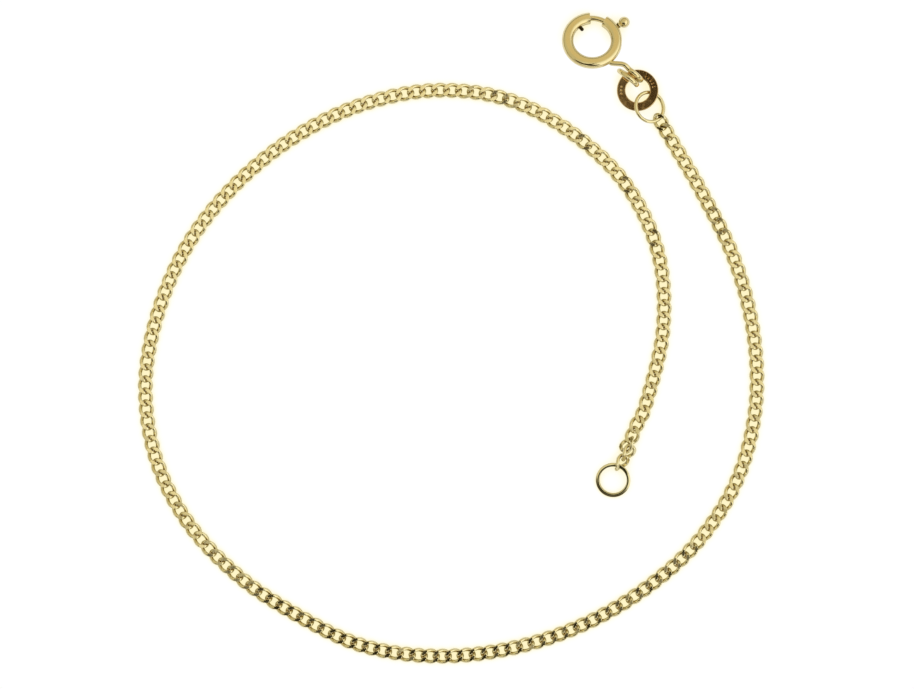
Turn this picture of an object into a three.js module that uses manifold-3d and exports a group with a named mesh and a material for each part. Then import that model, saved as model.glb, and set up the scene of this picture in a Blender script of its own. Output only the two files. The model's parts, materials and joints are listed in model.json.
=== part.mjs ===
// A fine curb chain bracelet in yellow gold, unfastened and laid flat in a loose spiral: a bolt ring
// clasp with its sliding trigger and tail loop, a flat tag ring, a jump ring, the chain and an end ring.
// Millimetres. +Z is up from the surface it lies on, and +Y is the far side. The origin is on that
// surface, under the middle of the outline. Each piece hangs in the next, outwards from the chain.
import * as THREE from "three";
import { mergeVertices } from "three/addons/utils/BufferGeometryUtils.js";
import Module from "manifold-3d";

const wasm = await Module();
wasm.setup();

const DEG = Math.PI / 180;
const GOLD = { color: 0xd9b65c, roughness: 0.18, metalness: 1 };
const TAG_GOLD = { color: 0xb98f45, roughness: 0.12, metalness: 1 };

// Gap between two wires that hang in each other
const CLEARANCE = 0.04;

// Curb chain: wire, width and height of the links lying flat, and their pitch
const LINK_WIRE = 0.3;
const LINK_WIDTH = 1.24;
const LINK_PITCH = 1.0;
const CHAIN_HEIGHT = 0.6;
const CHAIN_SIDES = 8;
const CHAIN_STEPS = 80;
const LINK_SIDES = 6;
const LINK_STEPS = 18;

// The chain's centreline from the middle of its first link, at the clasp, to that of its last: X and Y
const CHAIN_ROUTE = [
  [17.45, 18.05], [18.45, 16.4], [20.95, 12.1], [23.65, 6.5], [25.2, 0.4], [25.35, -5.8],
  [23.8, -11.8], [20.45, -17.0], [15.75, -21.1], [10.3, -24.1], [4.35, -25.9], [-1.65, -26.4],
  [-7.5, -25.5], [-12.8, -23.0], [-17.7, -19.75], [-21.9, -15.3], [-24.6, -9.9], [-25.45, -3.75],
  [-24.35, 2.35], [-21.8, 8.05], [-17.9, 12.9], [-13.05, 16.8], [-7.45, 19.5], [-1.3, 20.7],
  [4.85, 19.9], [10.35, 16.95], [14.75, 12.6], [17.3, 6.95], [17.65, 0.7], [16.25, -5.35],
  [15.15, -8.15], [14.25, -10.35],
];

// Jump ring and end ring, bent from the same wire
const RING_WIRE = 0.32;
const JUMP_RING_OUTER = 2.82;
const JUMP_RING_BEARING = 128; // from the chain to its centre
const JUMP_RING_UPHILL = 206; // the side that lies over the tag
const JUMP_RING_TILT = 24;
const END_RING_OUTER = 2.88;
const END_RING_BEARING = 240;
const END_RING_TILT = 9;
const RING_SIDES = 8;
const RING_STEPS = 32;

// Flat tag ring
const TAG_OUTER = 3.44;
const TAG_INNER = 2.04;
const TAG_THICKNESS = 0.3;
const TAG_EDGE = 0.05; // bevel of its edges
const TAG_LIFT = 0.24; // above the tail's wire that passes under it
const TAG_PLAY = 0.4; // from the jump ring's wire to the tag's inner edge
const TAG_BEARING = 126; // from the jump ring
const TAG_STEPS = 48;

// Clasp: a bolt ring of hollow tube with a gap, shut by the tongue of its trigger
const CLASP_OUTER = 5.0;
const TUBE_WIDTH = 0.94;
const TUBE_HEIGHT = 0.84;
const TUBE_BORE = 0.6;
const TUBE_SQUARENESS = 3; // 2 is an ellipse, and more is boxier
const TUBE_SIDES = 12;
const CLASP_STEPS = 48;
const GAP_FROM = 59; // bearings of the gap's two ends
const GAP_TO = 94;
const CLASP_TILT = 20;
const CLASP_UPHILL = -90;
const CLASP_BEARING = 137.6; // from the tail's loop

// Trigger: a tongue in the tube, with a ball on a post that runs along a slot
const TONGUE_WIRE = 0.44;
const TONGUE_OVERLAP = 6; // degrees of it beyond the far end of the gap
const TRIGGER_AT = 32;
const TONGUE_BACK = 8; // degrees of it behind the post
const TRIGGER_POST = 0.32;
const TRIGGER_COLLAR = 0.52;
const TRIGGER_STANDOFF = 0.06; // from the outside of the tube to the collar
const TRIGGER_BALL = 0.86;
const TRIGGER_REACH = 0.63; // from the outside of the tube to the middle of the ball
const TRIGGER_SIDES = 12;
const SLOT_CLEARANCE = 0.05;
const OPEN_MARGIN = 1; // degrees that the tongue goes back past the near end of the gap

// Tail: a wire neck that ends in an open loop of more than one turn, round the tag
const TAIL_WIRE = 0.32;
const TAIL_STEPS = 60;
const LOOP_OUTER = 2.32;
const LOOP_BEARING = 118; // from the tag's centre
const LOOP_ALONG = -32; // the way it runs, seen from above
const LOOP_SHIFT = 0.58; // sideways in one turn, so that the turns lie side by side
const LOOP_FROM = 112; // where on the loop its first turn starts, just before the top
const LOOP_TURN = 455;
const LOOP_STEP = 15;
const NECK_REACH = 1.78; // from the outside of the clasp to the middle of the loop
const NECK_AT = -52;
const NECK_STRAIGHT = 0.1; // before it bends
const NECK_SIDESTEP = 0.4; // of its bend, from the middle of the loop

// A point at a bearing in degrees, counted from +X towards +Y.
function polar(radius, bearing, height = 0) {
  return new THREE.Vector3(radius * Math.cos(bearing * DEG), radius * Math.sin(bearing * DEG), height);
}

// A closed geometry as a solid that can be cut and joined.
function solidOf(geometry) {
  const bare = new THREE.BufferGeometry().setAttribute("position", geometry.getAttribute("position"));
  if (geometry.index) bare.setIndex(geometry.index);
  const merged = mergeVertices(bare, 1e-4);
  return new wasm.Manifold(
    new wasm.Mesh({
      numProp: 3,
      vertProperties: merged.getAttribute("position").array,
      triVerts: new Uint32Array(merged.index.array),
    }),
  );
}

// A solid back as a geometry.
function geometryOf(solid) {
  const mesh = solid.getMesh();
  return new THREE.BufferGeometry()
    .setAttribute("position", new THREE.BufferAttribute(mesh.vertProperties, 3))
    .setIndex(new THREE.BufferAttribute(mesh.triVerts, 1));
}

// A named mesh of one material.
function piece(name, geometry, finish) {
  const mesh = new THREE.Mesh(geometry, new THREE.MeshStandardMaterial(finish));
  mesh.name = name;
  return mesh;
}

// The outline of a wire with flat sides up, down, left and right: an ellipse of so many sides.
function wireSection(height, width, sides) {
  const reach = 1 / Math.cos(Math.PI / sides);
  const points = [];
  for (let i = 0; i < sides; i++) {
    const turn = ((i + 0.5) * 2 * Math.PI) / sides;
    points.push(new THREE.Vector2((height / 2) * reach * Math.cos(turn), (width / 2) * reach * Math.sin(turn)));
  }
  return new THREE.Shape(points);
}

// A wire or tube along a curve, closed at both ends.
function sweep(curve, section, steps) {
  return new THREE.ExtrudeGeometry(section, { steps, extrudePath: curve, bevelEnabled: false });
}

// A stretch of another curve, between two distances along it.
class Stretch extends THREE.Curve {
  constructor(whole, from, to) {
    super();
    Object.assign(this, { whole, from, to });
  }
  getPoint(t, target = new THREE.Vector3()) {
    const along = this.from + (this.to - this.from) * t;
    return this.whole.getPointAt(along / this.whole.getLength(), target);
  }
}

// The centreline of a link that stands on edge: an oval in X and Z.
class LinkOval extends THREE.Curve {
  constructor(length, height) {
    super();
    Object.assign(this, { length, height });
  }
  getPoint(t, target = new THREE.Vector3()) {
    const turn = 2 * Math.PI * t;
    return target.set((this.length / 2) * Math.cos(turn), 0, (this.height / 2) * Math.sin(turn));
  }
}

// Part of a circle about Z.
class Arc extends THREE.Curve {
  constructor(radius, from, to) {
    super();
    Object.assign(this, { radius, from, to });
  }
  getPoint(t, target = new THREE.Vector3()) {
    return target.copy(polar(this.radius, this.from + (this.to - this.from) * t));
  }
}

// The turn that lifts the side of a flat ring at a bearing by a tilt in degrees.
function uphill(bearing, tilt) {
  const axis = new THREE.Vector3(Math.sin(bearing * DEG), -Math.cos(bearing * DEG), 0);
  return new THREE.Quaternion().setFromAxisAngle(axis, tilt * DEG);
}

// Chain: where its ends are, which way they point and where the rings hang in them.
const route = new THREE.CatmullRomCurve3(
  CHAIN_ROUTE.map(([x, y]) => new THREE.Vector3(x, y, CHAIN_HEIGHT / 2)), false, "catmullrom", 0.5,
);
route.arcLengthDivisions = 4000;
const linkLength = LINK_PITCH + LINK_WIRE; // along a link's centreline
const linkHeight = LINK_WIDTH - LINK_WIRE;
const hookReach = linkLength / 2 - (LINK_WIRE + RING_WIRE) / 2 - CLEARANCE;
const firstHook = route.getPoint(0).addScaledVector(route.getTangent(0), -hookReach);
const lastHook = route.getPoint(1).addScaledVector(route.getTangent(1), hookReach);

// Jump ring, from the chain's first link
const jumpRadius = (JUMP_RING_OUTER - RING_WIRE) / 2;
const jumpCentre = firstHook.clone().add(polar(jumpRadius, JUMP_RING_BEARING));
jumpCentre.z = RING_WIRE / 2 + jumpRadius * Math.sin(JUMP_RING_TILT * DEG);

// End ring, from the chain's last link
const endRadius = (END_RING_OUTER - RING_WIRE) / 2;
const endCentre = lastHook.clone().add(polar(endRadius, END_RING_BEARING));
endCentre.z = RING_WIRE / 2 + endRadius * Math.sin(END_RING_TILT * DEG);

// Tag, with the jump ring in its hole
const tagCentre = jumpCentre
  .clone()
  .add(polar(jumpRadius + (TAG_INNER - RING_WIRE) / 2 - TAG_PLAY, TAG_BEARING))
  .setZ(TAIL_WIRE + TAG_LIFT + TAG_THICKNESS / 2);

// Tail loop, round the middle of the tag's rim and down on the surface
const loopRadius = (LOOP_OUTER - TAIL_WIRE) / 2;
const loopCentre = tagCentre
  .clone()
  .add(polar((TAG_OUTER + TAG_INNER) / 4, LOOP_BEARING))
  .setZ(LOOP_OUTER / 2);

// Clasp, at the end of its neck, with its far side down on the surface
const claspRadius = (CLASP_OUTER - TUBE_WIDTH) / 2;
const claspCentre = loopCentre
  .clone()
  .add(polar(CLASP_OUTER / 2 + NECK_REACH, CLASP_BEARING))
  .setZ((CLASP_OUTER / 2) * Math.sin(CLASP_TILT * DEG) + (TUBE_HEIGHT / 2) * Math.cos(CLASP_TILT * DEG));
const tongueTip = GAP_TO + TONGUE_OVERLAP;
const claspTravel = tongueTip - GAP_FROM + OPEN_MARGIN;

// The height of a tilted flat ring's wire at a bearing from its centre.
function wireHeight(centre, radius, bearing, uphillBearing, tilt) {
  return centre.z + radius * Math.cos((bearing - uphillBearing) * DEG) * Math.sin(tilt * DEG);
}

// One upright link at an end of the chain, open to the ring that hangs in it.
function endLink(at, along, height) {
  const oval = new LinkOval(linkLength, linkHeight);
  const link = new THREE.TubeGeometry(oval, LINK_STEPS, LINK_WIRE / 2, LINK_SIDES, true);
  link.rotateZ(Math.atan2(along.y, along.x));
  link.translate(at.x, at.y, Math.max(height, LINK_WIDTH / 2));
  return solidOf(link);
}

// The whole chain: its flat run of links as one strand, with a true link at each end.
function curbChain() {
  const inset = LINK_PITCH - linkLength / 2 - LINK_WIRE / 2; // to the second link's near end
  const strand = new Stretch(route, inset, route.getLength() - inset);
  const run = sweep(strand, wireSection(CHAIN_HEIGHT, LINK_WIDTH, CHAIN_SIDES), CHAIN_STEPS);
  const firstHeight = wireHeight(
    jumpCentre, jumpRadius, JUMP_RING_BEARING + 180, JUMP_RING_UPHILL, JUMP_RING_TILT,
  );
  const lastHeight = wireHeight(
    endCentre, endRadius, END_RING_BEARING + 180, END_RING_BEARING + 180, END_RING_TILT,
  );
  const chain = solidOf(run)
    .add(endLink(route.getPoint(0), route.getTangent(0), firstHeight))
    .add(endLink(route.getPoint(1), route.getTangent(1), lastHeight));
  return piece("curb_chain", geometryOf(chain), GOLD);
}

// A round ring of wire, tilted where it lies.
function wireRing(name, radius, centre, uphillBearing, tilt) {
  const ring = new THREE.TorusGeometry(radius, RING_WIRE / 2, RING_SIDES, RING_STEPS);
  const mesh = piece(name, ring, GOLD);
  mesh.position.copy(centre);
  mesh.quaternion.copy(uphill(uphillBearing, tilt));
  return mesh;
}

// The flat ring with bevelled edges that hangs between the clasp and the jump ring.
function tagRing() {
  const inner = TAG_INNER / 2;
  const outer = TAG_OUTER / 2;
  const half = TAG_THICKNESS / 2;
  const profile = [
    [inner + TAG_EDGE, -half], [outer - TAG_EDGE, -half], [outer, -half + TAG_EDGE], [outer, half - TAG_EDGE],
    [outer - TAG_EDGE, half], [inner + TAG_EDGE, half], [inner, half - TAG_EDGE], [inner, -half + TAG_EDGE],
    [inner + TAG_EDGE, -half],
  ].map(([r, y]) => new THREE.Vector2(r, y));
  const tag = new THREE.LatheGeometry(profile, TAG_STEPS).rotateX(90 * DEG);
  const mesh = piece("tag_ring", tag, TAG_GOLD);
  mesh.position.copy(tagCentre);
  return mesh;
}

// A closed outline spun about Z, as a solid: radius and height are its section's middle and size.
function spun(radius, width, height, squareness, sides) {
  const profile = [];
  for (let i = 0; i <= sides; i++) {
    const turn = (2 * Math.PI * i) / sides;
    const round = (v) => Math.sign(v) * Math.abs(v) ** (2 / squareness);
    profile.push(
      new THREE.Vector2(radius + (width / 2) * round(Math.cos(turn)), (height / 2) * round(Math.sin(turn))),
    );
  }
  return solidOf(new THREE.LatheGeometry(profile, CLASP_STEPS).rotateX(90 * DEG));
}

// A block between two radii and two bearings, centred on the plane of the clasp.
function sector(inner, outer, from, to, height) {
  const shape = new THREE.Shape();
  shape.absarc(0, 0, outer, from * DEG, to * DEG, false);
  shape.absarc(0, 0, inner, to * DEG, from * DEG, true);
  const block = new THREE.ExtrudeGeometry(shape, { depth: height, bevelEnabled: false });
  return solidOf(block.translate(0, 0, -height / 2));
}

// The tail's centreline in the clasp's own frame: out of the tube, then round the loop.
function tailCurve(claspFrame) {
  const along = polar(1, LOOP_ALONG);
  const across = polar(1, LOOP_ALONG - 90);
  const points = [
    loopCentre
      .clone()
      .addScaledVector(along, -loopRadius)
      .addScaledVector(across, -NECK_SIDESTEP)
      .add(new THREE.Vector3(0, 0, loopRadius)),
  ];
  for (let turn = 0; turn <= LOOP_TURN; turn += LOOP_STEP) {
    const at = (LOOP_FROM - turn) * DEG;
    points.push(
      loopCentre
        .clone()
        .addScaledVector(along, loopRadius * Math.cos(at))
        .addScaledVector(across, LOOP_SHIFT * ((turn - (LOOP_FROM - 90)) / 360 - 0.5))
        .add(new THREE.Vector3(0, 0, loopRadius * Math.sin(at))),
    );
  }
  const toClasp = claspFrame.clone().invert();
  points.forEach((p) => p.applyMatrix4(toClasp));
  const root = [claspRadius + TUBE_WIDTH / 4, CLASP_OUTER / 2 + NECK_STRAIGHT].map((r) => polar(r, NECK_AT));
  return new THREE.CatmullRomCurve3([...root, ...points], false, "centripetal");
}

// The clasp's hollow tube, cut for the gap and the trigger's slot, with the tail soldered on.
function claspRing(claspFrame) {
  const outside = spun(claspRadius, TUBE_WIDTH, TUBE_HEIGHT, TUBE_SQUARENESS, TUBE_SIDES);
  const bore = spun(claspRadius, TUBE_BORE, TUBE_BORE, 2, TUBE_SIDES);
  const gap = sector(claspRadius - TUBE_WIDTH, claspRadius + TUBE_WIDTH, GAP_FROM, GAP_TO, 2 * TUBE_HEIGHT);
  const slotWidth = TRIGGER_POST + 2 * SLOT_CLEARANCE;
  const slotEnd = slotWidth / 2 / claspRadius / DEG;
  const slot = sector(
    claspRadius, claspRadius + TUBE_WIDTH, TRIGGER_AT - claspTravel - slotEnd, TRIGGER_AT + slotEnd, slotWidth,
  );
  const wire = wireSection(TAIL_WIRE, TAIL_WIRE, 8);
  const tail = solidOf(sweep(tailCurve(claspFrame), wire, TAIL_STEPS)).subtract(bore);
  const tube = outside.subtract(bore).subtract(gap).subtract(slot).add(tail);
  return piece("clasp_ring", geometryOf(tube), GOLD);
}

// A round bar that points outwards from the clasp at the trigger, between two radii.
function radialBar(diameter, from, to) {
  return solidOf(
    new THREE.CylinderGeometry(diameter / 2, diameter / 2, to - from, TRIGGER_SIDES)
      .rotateZ(-90 * DEG)
      .translate((from + to) / 2, 0, 0)
      .rotateZ(TRIGGER_AT * DEG),
  );
}

// The trigger: tongue, post, collar and ball in one.
function claspTrigger() {
  const ballAt = CLASP_OUTER / 2 + TRIGGER_REACH;
  const wire = wireSection(TONGUE_WIRE, TONGUE_WIRE, TRIGGER_SIDES);
  const tongue = sweep(new Arc(claspRadius, TRIGGER_AT - TONGUE_BACK, tongueTip), wire, CLASP_STEPS / 2);
  const middle = polar(ballAt, TRIGGER_AT);
  const ball = new THREE.SphereGeometry(TRIGGER_BALL / 2, TRIGGER_SIDES, TRIGGER_SIDES)
    .translate(middle.x, middle.y, 0);
  const solid = solidOf(tongue)
    .add(radialBar(TRIGGER_POST, claspRadius, ballAt))
    .add(radialBar(TRIGGER_COLLAR, CLASP_OUTER / 2 + TRIGGER_STANDOFF, ballAt - TRIGGER_BALL / 4))
    .add(solidOf(ball));
  return piece("clasp_trigger", geometryOf(solid), GOLD);
}

const clasp = new THREE.Group();
clasp.position.copy(claspCentre);
clasp.quaternion.copy(uphill(CLASP_UPHILL, CLASP_TILT));
clasp.updateMatrixWorld(true);
clasp.add(claspRing(clasp.matrixWorld), claspTrigger());

const bracelet = new THREE.Group();
bracelet.add(
  clasp,
  tagRing(),
  wireRing("jump_ring", jumpRadius, jumpCentre, JUMP_RING_UPHILL, JUMP_RING_TILT),
  curbChain(),
  wireRing("end_ring", endRadius, endCentre, END_RING_BEARING + 180, END_RING_TILT),
);

export default bracelet;
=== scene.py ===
"""A fine curb chain bracelet in yellow gold, unfastened and laid flat in a loose spiral.

Lengths are in metres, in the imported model's own frame: +Z is up from the surface, and +Y the far side.
"""

from __future__ import annotations

import json
import logging
import math
from dataclasses import dataclass
from enum import Enum

import bmesh
import bpy
from mathutils import Matrix, Quaternion, Vector

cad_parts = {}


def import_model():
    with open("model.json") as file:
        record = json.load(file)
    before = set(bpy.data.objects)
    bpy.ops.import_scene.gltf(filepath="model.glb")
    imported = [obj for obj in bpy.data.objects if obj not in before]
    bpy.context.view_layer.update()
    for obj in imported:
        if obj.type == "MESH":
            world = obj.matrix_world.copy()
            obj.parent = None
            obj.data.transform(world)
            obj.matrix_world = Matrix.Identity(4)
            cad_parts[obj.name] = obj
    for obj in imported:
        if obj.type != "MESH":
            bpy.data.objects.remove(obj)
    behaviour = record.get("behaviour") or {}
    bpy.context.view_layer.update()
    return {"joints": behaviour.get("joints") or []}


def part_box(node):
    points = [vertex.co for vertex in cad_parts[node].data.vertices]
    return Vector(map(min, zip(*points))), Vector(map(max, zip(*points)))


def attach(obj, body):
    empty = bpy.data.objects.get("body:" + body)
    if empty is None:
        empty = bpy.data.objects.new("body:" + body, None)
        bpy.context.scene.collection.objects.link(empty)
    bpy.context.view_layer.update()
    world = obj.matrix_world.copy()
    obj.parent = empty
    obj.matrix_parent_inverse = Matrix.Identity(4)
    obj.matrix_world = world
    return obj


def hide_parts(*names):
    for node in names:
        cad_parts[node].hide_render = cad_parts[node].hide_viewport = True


MM = 0.001
UP = Vector((0.0, 0.0, 1.0))
log = logging.getLogger("bracelet")

Colour = tuple[float, float, float]


class Body(Enum):
    """The rigid bodies that the pieces ride on."""

    BRACELET = "bracelet"
    TRIGGER = "trigger"


class Slot(Enum):
    """The record's material slots."""

    GOLD = "gold"
    TAG = "tag_gold"


class Punch(Enum):
    """The plain marks that are punched in the tag."""

    DOT = "dot"
    BAR = "bar"


# Helpers for places and curves
def polar(radius: float, bearing: float, height: float = 0.0) -> Vector:
    """Returns the point at a bearing in degrees, counted from +X towards +Y."""
    turn = math.radians(bearing)
    return Vector((radius * math.cos(turn), radius * math.sin(turn), height))


def uphill(bearing: float, tilt: float) -> Quaternion:
    """Returns the turn that lifts the side of a flat ring at a bearing, both in degrees."""
    turn = math.radians(bearing)
    return Quaternion((math.sin(turn), -math.cos(turn), 0.0), math.radians(tilt))


def middle(node: str) -> Vector:
    """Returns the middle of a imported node's box."""
    low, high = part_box(node)
    return (low + high) / 2


def linked(name: str, data: bpy.types.ID) -> bpy.types.Object:
    """Puts new data into the scene.

    Args:
        name: The new object's name.
        data: Its mesh, curve or camera.

    Returns:
        The new object, at the origin.
    """
    made = bpy.data.objects.new(name, data)
    bpy.context.scene.collection.objects.link(made)
    return made


def curve_object(name: str, points: list[Vector], closed: bool = False, radii: list[float] | None = None,
                 ) -> bpy.types.Object:
    """Makes a smooth curve through points.

    Args:
        name: The new object's name.
        points: What it passes through.
        closed: Whether the last point joins the first.
        radii: A share of the wire's radius at each point, or None for 1 all along.

    Returns:
        The curve's object, at the origin.
    """
    data = bpy.data.curves.new(name, "CURVE")
    data.dimensions = "3D"
    spline = data.splines.new("BEZIER")
    spline.bezier_points.add(len(points) - 1)
    spline.use_cyclic_u = closed
    last = len(points) - 1
    for i, (point, at) in enumerate(zip(spline.bezier_points, points)):
        before = points[i - 1] if i or closed else at
        after = points[(i + 1) % len(points)] if i < last or closed else at
        # A handle reaches a third of a step, and an inner point's neighbours are two steps apart
        share = 6.0 if closed or 0 < i < last else 3.0
        point.co = at
        point.handle_left_type = "FREE"
        point.handle_right_type = "FREE"
        point.handle_left = at - (after - before) / share
        point.handle_right = at + (after - before) / share
        point.radius = radii[i] if radii else 1.0
    return linked(name, data)


def mesh_object(name: str, mesh: bmesh.types.BMesh, place: Matrix | None = None) -> bpy.types.Object:
    """Turns a built mesh into an object at the origin.

    Args:
        name: The new object's name.
        mesh: What was built. It is freed.
        place: Where it goes, baked into its vertices.

    Returns:
        The new object.
    """
    if place is not None:
        mesh.transform(place)
    bmesh.ops.recalc_face_normals(mesh, faces=mesh.faces)
    for face in mesh.faces:
        face.smooth = True
    data = bpy.data.meshes.new(name)
    mesh.to_mesh(data)
    mesh.free()
    return linked(name, data)


def realised(source: bpy.types.Object, name: str) -> bpy.types.Object:
    """Turns an object with live modifiers into a plain mesh at the origin.

    Args:
        source: The object. It is removed.
        name: The mesh's name.

    Returns:
        The plain mesh's object.
    """
    graph = bpy.context.evaluated_depsgraph_get()
    data = bpy.data.meshes.new_from_object(source.evaluated_get(graph), depsgraph=graph)
    source.modifiers.clear()
    bpy.data.objects.remove(source)
    data.name = name
    return linked(name, data)


def joined(name: str, parts: list[bpy.types.Object]) -> bpy.types.Object:
    """Joins meshes into one object, with one material all over it.

    Args:
        name: The new object's name.
        parts: What is joined. They are removed.

    Returns:
        The new object.
    """
    whole = bmesh.new()
    for part in parts:
        whole.from_mesh(part.data)
    for face in whole.faces:
        face.material_index = 0
    data = bpy.data.meshes.new(name)
    whole.to_mesh(data)
    whole.free()
    for part in parts:
        bpy.data.objects.remove(part)
    return linked(name, data)


def cut(target: bpy.types.Object, cutter: bpy.types.Object) -> bpy.types.Object:
    """Cuts one mesh out of another.

    Args:
        target: What is cut. A new object takes its name.
        cutter: What is cut away. It is removed.

    Returns:
        The cut mesh's object.
    """
    name = target.name
    target.name = name + "_uncut"
    change = target.modifiers.new("cut", "BOOLEAN")
    change.object = cutter
    change.operation = "DIFFERENCE"
    change.solver = "EXACT"
    made = realised(target, name)
    bpy.data.objects.remove(cutter)
    return made


def crease(target: bpy.types.Object, degrees: float) -> None:
    """Shades a mesh smooth, with sharp edges where its faces turn sharply.

    Args:
        target: The mesh's object.
        degrees: The least angle between two faces whose edge is sharp.
    """
    whole = bmesh.new()
    whole.from_mesh(target.data)
    limit = math.radians(degrees)
    for face in whole.faces:
        face.smooth = True
    for edge in whole.edges:
        edge.smooth = edge.calc_face_angle(0.0) < limit
    whole.to_mesh(target.data)
    whole.free()


def lathe(profile: list[tuple[float, float]], steps: int, closed: bool) -> bmesh.types.BMesh:
    """Spins an outline about +Z.

    Args:
        profile: Radius and height of each point. An open outline starts and ends on the axis.
        steps: How many faces go round.
        closed: Whether the outline's last point joins its first.

    Returns:
        The closed mesh.
    """
    mesh = bmesh.new()
    rings = []
    for radius, height in profile:
        if radius == 0.0:
            rings.append([mesh.verts.new((0.0, 0.0, height))])
        else:
            rings.append([mesh.verts.new(polar(radius, 360.0 * k / steps, height)) for k in range(steps)])
    pairs = list(zip(rings, rings[1:]))
    if closed:
        pairs.append((rings[-1], rings[0]))
    for a, b in pairs:
        for k in range(steps):
            j = (k + 1) % steps
            corners = [a[k % len(a)], a[j % len(a)], b[j % len(b)], b[k % len(b)]]
            mesh.faces.new(list(dict.fromkeys(corners)))
    return mesh


# Helpers for node trees
class Wiring:
    """Adds nodes to one tree and joins them, in shader and geometry trees alike."""

    def __init__(self, tree: bpy.types.NodeTree) -> None:
        """Starts on an existing tree."""
        self.tree = tree

    def feed(self, socket: bpy.types.NodeSocket, value: object) -> None:
        """Links a socket to another, or sets its value.

        Args:
            socket: The input that is fed.
            value: A node's output, or a plain value.
        """
        if isinstance(value, bpy.types.NodeSocket):
            self.tree.links.new(value, socket)
        else:
            socket.default_value = value

    def add(self, kind: str, inputs: dict[str | int, object] | None = None, **settings: object,
            ) -> bpy.types.Node:
        """Adds a node.

        Args:
            kind: Its type.
            inputs: A value or a socket for each named or numbered input.
            **settings: Its own properties.

        Returns:
            The new node.
        """
        node = self.tree.nodes.new(kind)
        for name, value in settings.items():
            setattr(node, name, value)
        for key, value in (inputs or {}).items():
            self.feed(node.inputs[key], value)
        return node

    def math(self, operation: str, *values: object) -> bpy.types.NodeSocket:
        """Returns the result of a sum on numbers."""
        return self.add("ShaderNodeMath", dict(enumerate(values)), operation=operation).outputs[0]

    def vector(self, operation: str, *values: object) -> bpy.types.NodeSocket:
        """Returns the result of a sum on vectors."""
        node = self.add("ShaderNodeVectorMath", dict(enumerate(values)), operation=operation)
        return node.outputs["Value" if operation == "DOT_PRODUCT" else "Vector"]

    def xyz(self, x: object, y: object, z: object) -> bpy.types.NodeSocket:
        """Returns three numbers as a vector."""
        return self.add("ShaderNodeCombineXYZ", {0: x, 1: y, 2: z}).outputs[0]

    def parts(self, vector: object) -> list[bpy.types.NodeSocket]:
        """Returns the three numbers of a vector."""
        return list(self.add("ShaderNodeSeparateXYZ", {0: vector}).outputs)

    def mix(self, share: object, a: object, b: object) -> bpy.types.NodeSocket:
        """Returns a colour between two. A Mix node's colours are its inputs 6 and 7, and its output 2."""
        return self.add("ShaderNodeMix", {0: share, 6: a, 7: b}, data_type="RGBA").outputs[2]

    def boxy(self, value: object, squareness: object) -> bpy.types.NodeSocket:
        """Returns a sine or cosine pushed outwards, which makes a circle squarer. 2 leaves it round."""
        size = self.math("POWER", self.math("ABSOLUTE", value), self.math("DIVIDE", 2.0, squareness))
        return self.math("MULTIPLY", self.math("SIGN", value), size)

    def ramp(self, value: object, low: float, high: float, to_low: object = 0.0, to_high: object = 1.0,
             ) -> bpy.types.NodeSocket:
        """Returns a value carried smoothly from one range to another."""
        inputs = {"Value": value, "From Min": low, "From Max": high, "To Min": to_low, "To Max": to_high}
        return self.add("ShaderNodeMapRange", inputs, interpolation_type="SMOOTHSTEP").outputs[0]


def rgba(colour: Colour) -> tuple[float, float, float, float]:
    """Returns a colour with full opacity."""
    return (*colour, 1.0)


def open_tree(name: str, kind: str, inputs: list[tuple[str, str, object]], outputs: list[tuple[str, str]],
              ) -> tuple[Wiring, dict[str, bpy.types.NodeSocket], bpy.types.Node]:
    """Starts a node group with named inputs and outputs.

    Args:
        name: The group's name.
        kind: ShaderNodeTree or GeometryNodeTree.
        inputs: Name, kind of value and usual value of each input.
        outputs: Name and kind of value of each output.

    Returns:
        The group's wiring, its inputs by name, and its output node.
    """
    tree = bpy.data.node_groups.new(name, kind)
    for label, value_kind, usual in inputs:
        socket = tree.interface.new_socket(name=label, in_out="INPUT", socket_type="NodeSocket" + value_kind)
        if usual is not None:
            socket.default_value = usual
    for label, value_kind in outputs:
        tree.interface.new_socket(name=label, in_out="OUTPUT", socket_type="NodeSocket" + value_kind)
    wiring = Wiring(tree)
    given = wiring.add("NodeGroupInput")
    return wiring, {s.name: s for s in given.outputs if s.name}, wiring.add("NodeGroupOutput")


def grow(source: bpy.types.Object, tree: bpy.types.NodeTree, values: dict[str, object]) -> None:
    """Puts a geometry tree on an object, with its inputs set through their identifiers.

    Args:
        source: The object.
        tree: The geometry tree.
        values: A value for each input that is set, by the input's name.
    """
    change = source.modifiers.new(tree.name, "NODES")
    change.node_group = tree
    for item in tree.interface.items_tree:
        if item.item_type == "SOCKET" and item.in_out == "INPUT" and item.name in values:
            change[item.identifier] = values[item.name]


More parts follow.
